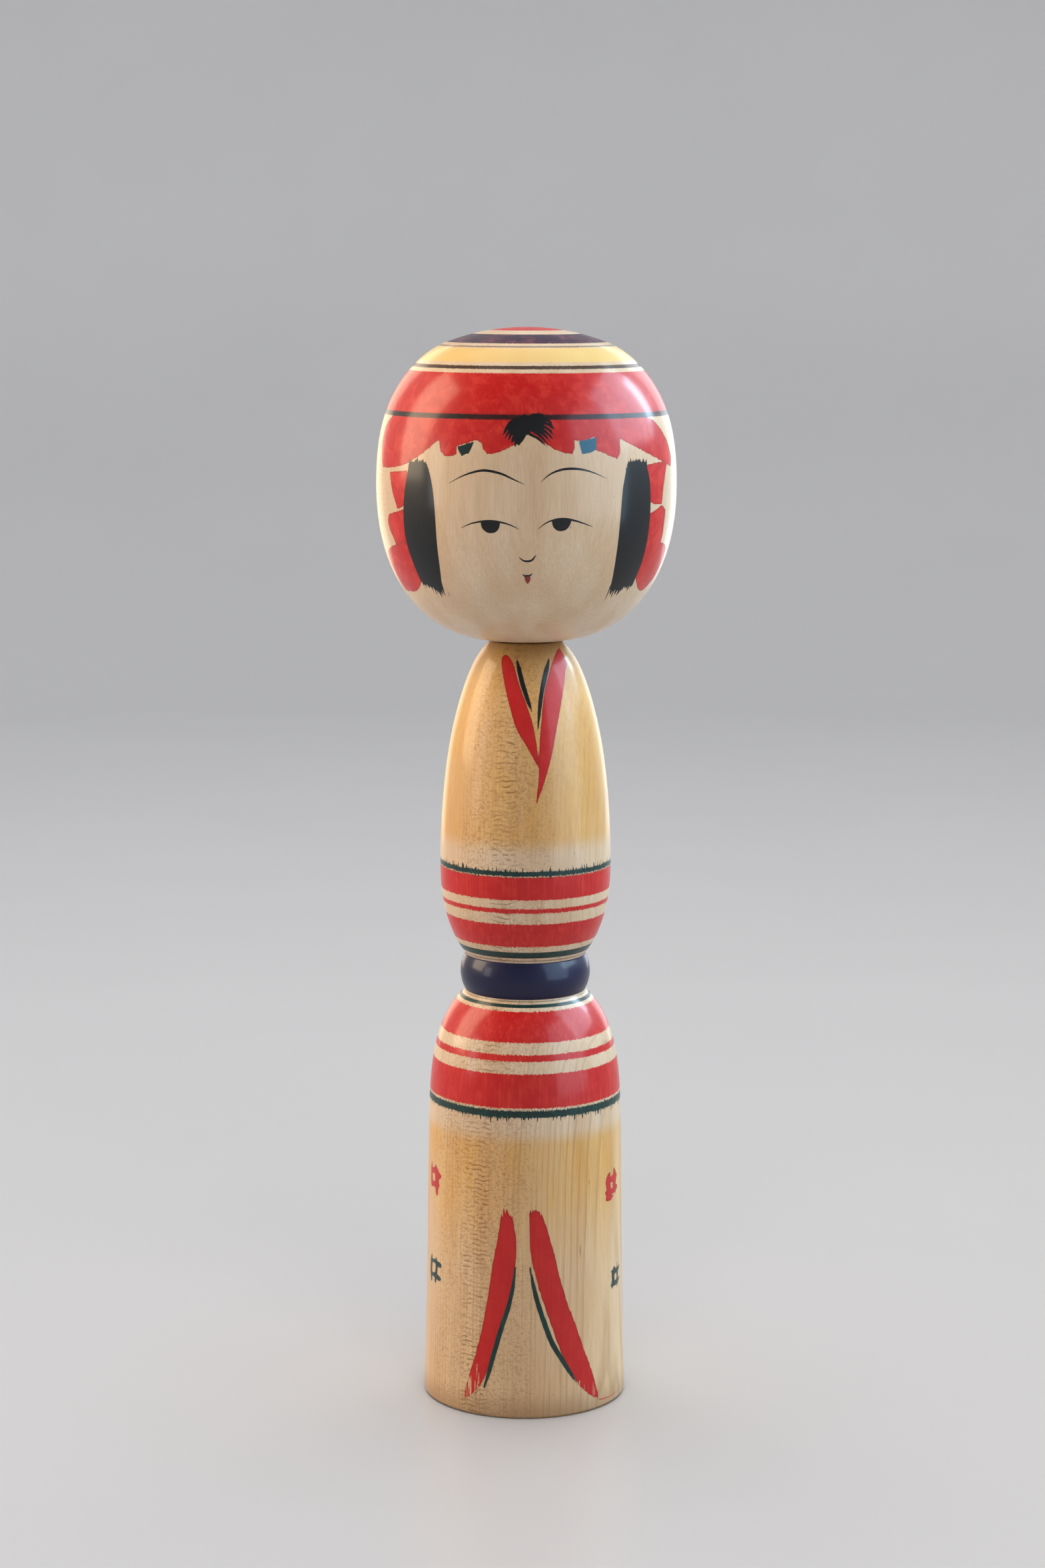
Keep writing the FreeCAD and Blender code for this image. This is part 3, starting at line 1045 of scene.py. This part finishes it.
class KokeshiStudio(bpy.types.PropertyGroup):
    """The board, lights and camera."""

    board: swatch("Board", "Floor and backdrop", 216, 217, 219)
    camera_distance: measure(
        "Camera distance", "How far in front of the doll it stands", 3.022 * DOLL_HEIGHT, "LENGTH"
    )
    camera_height: measure(
        "Camera height", "Height of the camera above the foot", 1.0536 * DOLL_HEIGHT, "LENGTH"
    )
    camera_dip: measure("Camera dip", "How far it looks down", math.radians(8.9), "ROTATION")
    camera_lean: measure("Camera lean", "Turn of the picture", math.radians(0.13), "ROTATION")
    lens: FloatProperty(name="Lens", description="Focal length in millimetres", default=75.8)
    warm_power: watts("Warm light", "soft light on the left", 10.5)
    cool_power: watts("Cool light", "soft light on the right", 11.5)
    window_power: watts("Window light", "small bright light on the right", 3.5)
    fill_power: watts("Fill light", "light that fills the front", 10.3)
    board_power: watts("Board light", "light over the board alone", 28.0)
    ceiling_power: watts("Ceiling light", "soft light overhead", 3.4)
    sheen_power: watts("Sheen", "soft reflections at the front", 1.0)
    rim_power: watts("Rim lights", "lights behind, each", 3.0)


# ---- Operators: one for each piece and one for the stage ----


def body_row_gap(height):
    """Finer rows where the skirt and the collar are brushed."""
    return 0.95 if 72 <= height - FOOT_HEIGHT <= 171 else 0.7


def head_row_gap(height):
    """Finer rows over the face and hair."""
    return 0.3 if 13.5 < height - CHIN_HEIGHT < 65 else 1.1


def brush_layers(place, datum, *names):
    """An empty layer for each brushed colour and one for the pen, heights counted from datum."""
    place["height"] = place["height"] - datum
    return [*(BrushLayer(name, place) for name in names), PenLayer("pen", place)]


def wood_dyes_varnish(scene):
    """The settings that every piece's material is made from."""
    return scene.kokeshi_wood, scene.kokeshi_dyes, scene.kokeshi_varnish


class KOKESHI_OT_body(bpy.types.Operator):
    """Turn and paint the body: skirt, waist bead and torso in one piece"""

    bl_idname = "kokeshi.body"
    bl_label = "Turn and Paint Body"

    def execute(self, context):
        looks = wood_dyes_varnish(context.scene)
        outline = fine_outline("body", body_row_gap, looks[-1].edge_round)
        piece, place = spin("turned_body", outline, spoke_angles(((80, 1.1), (180, 4.0))))
        layers = brush_layers(place, FOOT_HEIGHT, "red", "green", "ink")
        red, green, ink, pen = layers
        paint_collar(red, ink)
        paint_skirt(red, green)
        paint_marks(red, green)
        pen.stroke([(47.5, 2.6), (55.5, 2.2), (67.6, 2.4)], [0.4, 0.3, 0.1])
        ink.stroke([(33.7, 50), (33.9, 47.6), (33.8, 45.4)], [0.1, 0.22, 0.1])
        for layer in layers:
            layer.store(piece)
        piece.data.materials.append(body_finish(*looks))
        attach(piece, "body")
        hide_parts("body")
        return {"FINISHED"}


class KOKESHI_OT_head(bpy.types.Operator):
    """Turn and paint the head, with its hair and face"""

    bl_idname = "kokeshi.head"
    bl_label = "Turn and Paint Head"

    def execute(self, context):
        looks = wood_dyes_varnish(context.scene)
        outline = fine_outline("head", head_row_gap, looks[-1].edge_round)
        angles = spoke_angles(((35, 0.42), (80, 0.9), (180, 4.5)))
        piece, place = spin("turned_head", outline, angles)
        layers = brush_layers(place, CHIN_HEIGHT, "red", "green", "ink", "lip")
        red, green, ink, lip, pen = layers
        paint_fringe(red, green)
        paint_locks(ink)
        paint_forelock(ink)
        paint_face(pen, ink, lip)
        for layer in layers:
            layer.store(piece)
        piece.data.materials.append(head_finish(*looks))
        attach(piece, "head")
        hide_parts("head")
        return {"FINISHED"}


class KOKESHI_OT_neck_peg(bpy.types.Operator):
    """Turn the peg that holds the head and turns in the body"""

    bl_idname = "kokeshi.neck_peg"
    bl_label = "Turn Neck Peg"

    def execute(self, context):
        looks = wood_dyes_varnish(context.scene)
        row_gap = 0.6
        outline = fine_outline("neck_peg", lambda height: row_gap, looks[-1].edge_round)
        piece, _ = spin("turned_neck_peg", outline, spoke_angles(((180, 4.0),)))
        piece.data.materials.append(peg_finish(*looks))
        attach(piece, "head")
        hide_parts("neck_peg")
        return {"FINISHED"}


# The faint even light of the room, and how far left of the doll's middle the camera stands, in m.
ROOM_COLOUR, ROOM_STRENGTH = (0.94, 0.95, 1.0), 0.16
CAMERA_ASIDE = 0.0009


def soft_light(name, colour, power, size, azimuth, rise, distance, only_on=None, **seen_in):
    """One large soft light, aimed at the doll from azimuth degrees round and rise degrees up.

    It is never seen itself, and it may be kept to the pieces in one collection. Seen_in may turn
    off visible_glossy, its reflection in the varnish, or visible_diffuse, the light it gives.
    """
    lamp = bpy.data.lights.new(name, "AREA")
    lamp.shape = "RECTANGLE"
    lamp.size, lamp.size_y = size
    lamp.energy = power
    lamp.color = colour
    middle = Vector((0, 0, 0.55 * DOLL_HEIGHT))
    turn = Euler((math.radians(90 - rise), 0, math.radians(azimuth)))
    holder = bpy.data.objects.new(name, lamp)
    holder.rotation_euler = turn
    holder.location = middle + turn.to_matrix() @ Vector((0, 0, distance))
    holder.visible_camera = False
    for use, seen in seen_in.items():
        setattr(holder, use, seen)
    if only_on:
        holder.light_linking.receiver_collection = only_on
    bpy.context.scene.collection.objects.link(holder)


def collected(name, pieces):
    """A collection of some pieces, for lights that are kept to them."""
    collection = bpy.data.collections.new(name)
    for piece in pieces:
        collection.objects.link(piece)
    return collection


def set_up_lights(studio, board):
    """The soft lights: warm on the left, cool on the right, and a light for the board alone."""
    stage = collected("stage_only", [board])
    names = ("turned_body", "turned_head", "turned_neck_peg")
    pieces = collected("doll_pieces", [bpy.data.objects[name] for name in names])
    ivory, warm, cool = (1, 0.97, 0.93), (1.0, 0.78, 0.54), (0.62, 0.83, 1.0)
    power, sheen, rim = studio.board_power, studio.sheen_power, studio.rim_power
    soft_light("board_light", (0.97, 0.98, 1), power, (3, 3), 0, 90, 2.2, only_on=stage)
    soft_light("fill_light", (1, 0.9, 0.79), studio.fill_power, (1.4, 0.9), 6, 46, 1.9,
               visible_glossy=False)
    soft_light("ceiling_light", ivory, studio.ceiling_power, (1.0, 0.8), 180, 76, 1.2)
    for name, tint, power, size, azimuth, rise, lit in (
        ("warm_light", warm, studio.warm_power, (0.5, 0.9), -97, 28, True),
        ("cool_light", cool, studio.cool_power, (0.8, 0.7), 98, 34, True),
        ("window_light", cool, studio.window_power, (0.16, 0.36), 122, 30, True),
        ("warm_sheen", ivory, sheen, (0.24, 0.4), -71, 8, False),
        ("cool_sheen", (0.55, 0.8, 1.0), 8 * sheen, (0.8, 1.0), 60, 14, False),
        ("left_rim", (1, 0.82, 0.6), rim, (0.4, 1.0), -154, 8, True),
        ("right_rim", (0.86, 0.94, 1), rim, (0.4, 1.0), 154, 8, True),
    ):
        soft_light(name, tint, power, size, azimuth, rise, 1.0, pieces, visible_diffuse=lit)


def stage_board(studio):
    """The round board under the doll, curving up into a plain backdrop all round it."""
    flat, bend, top, spokes, bend_steps = 1.5, 0.7, 2.4, 96, 24
    floor = CAD_BOX[0].z
    side = [(0.05, floor), (flat, floor)]
    for step in range(1, bend_steps + 1):
        turn = math.pi / 2 * step / bend_steps
        side.append((flat + bend * math.sin(turn), floor + bend - bend * math.cos(turn)))
    side.append((flat + bend, top))
    points = [(0, 0, floor)]
    for radius, height in side:
        for spoke in range(spokes):
            turn = 2 * math.pi * spoke / spokes
            points.append((radius * math.cos(turn), radius * math.sin(turn), height))
    faces = [(0, 1 + spoke, 1 + (spoke + 1) % spokes) for spoke in range(spokes)]
    for low in range(1, 1 + (len(side) - 1) * spokes, spokes):
        high = low + spokes
        for spoke in range(spokes):
            onward = (spoke + 1) % spokes
            faces.append((low + spoke, high + spoke, high + onward, low + onward))
    mesh = bpy.data.meshes.new("stage_board")
    mesh.from_pydata(points, [], faces)
    mesh.shade_smooth()
    board = bpy.data.objects.new("stage_board", mesh)
    bpy.context.scene.collection.objects.link(board)
    mesh.materials.append(stage_finish(tuple(studio.board), roughness=0.34))
    return board


class KOKESHI_OT_stage(bpy.types.Operator):
    """Set up the board, the soft lights and the camera"""

    bl_idname = "kokeshi.stage"
    bl_label = "Set Up Stage"

    def execute(self, context):
        scene = context.scene
        studio = scene.kokeshi_studio
        set_up_lights(studio, stage_board(studio))
        world = bpy.data.worlds.new("studio_world")
        world.use_nodes = True
        backdrop = world.node_tree.nodes["Background"]
        backdrop.inputs["Color"].default_value = (*ROOM_COLOUR, 1.0)
        backdrop.inputs["Strength"].default_value = ROOM_STRENGTH
        scene.world = world
        scene.view_settings.view_transform = "Standard"

        lens = bpy.data.cameras.new("front_camera")
        lens.lens = studio.lens
        lens.sensor_width = 36.0
        lens.clip_start = 0.01
        camera = bpy.data.objects.new("front_camera", lens)
        height = CAD_BOX[0].z + studio.camera_height
        camera.location = (-CAMERA_ASIDE, -studio.camera_distance, height)
        camera.rotation_mode = "XYZ"
        look = Euler((math.radians(90) - studio.camera_dip, 0, 0)).to_matrix()
        lean = Euler((0, 0, studio.camera_lean)).to_matrix()
        camera.rotation_euler = (look @ lean).to_euler()
        scene.collection.objects.link(camera)
        scene.camera = camera
        return {"FINISHED"}


class KOKESHI_PT_panel(bpy.types.Panel):
    """Lists the doll's operators and their settings."""

    bl_idname = "KOKESHI_PT_panel"
    bl_label = "Kokeshi Doll"
    bl_space_type = "VIEW_3D"
    bl_region_type = "UI"
    bl_category = "Kokeshi"

    def draw(self, context):
        layout = self.layout
        for operator in OPERATORS:
            layout.operator(operator.bl_idname)
        for name in SETTINGS:
            box = layout.box()
            settings = getattr(context.scene, name)
            for key in settings.__annotations__:
                box.prop(settings, key)


OPERATORS = (KOKESHI_OT_body, KOKESHI_OT_head, KOKESHI_OT_neck_peg, KOKESHI_OT_stage)
SETTINGS = {
    "kokeshi_wood": KokeshiWood,
    "kokeshi_dyes": KokeshiDyes,
    "kokeshi_varnish": KokeshiVarnish,
    "kokeshi_studio": KokeshiStudio,
}


def register():
    """Registers the settings, operators and panel."""
    for name, group in SETTINGS.items():
        bpy.utils.register_class(group)
        setattr(bpy.types.Scene, name, PointerProperty(type=group))
    for part in (*OPERATORS, KOKESHI_PT_panel):
        bpy.utils.register_class(part)


def unregister():
    """Takes back everything that register added."""
    for part in (KOKESHI_PT_panel, *reversed(OPERATORS)):
        bpy.utils.unregister_class(part)
    for name, group in reversed(SETTINGS.items()):
        delattr(bpy.types.Scene, name)
        bpy.utils.unregister_class(group)


def main():
    """Makes the doll and its stage."""
    register()
    bpy.ops.kokeshi.body()
    bpy.ops.kokeshi.head()
    bpy.ops.kokeshi.neck_peg()
    bpy.ops.kokeshi.stage()


if __name__ == "__main__":
    main()
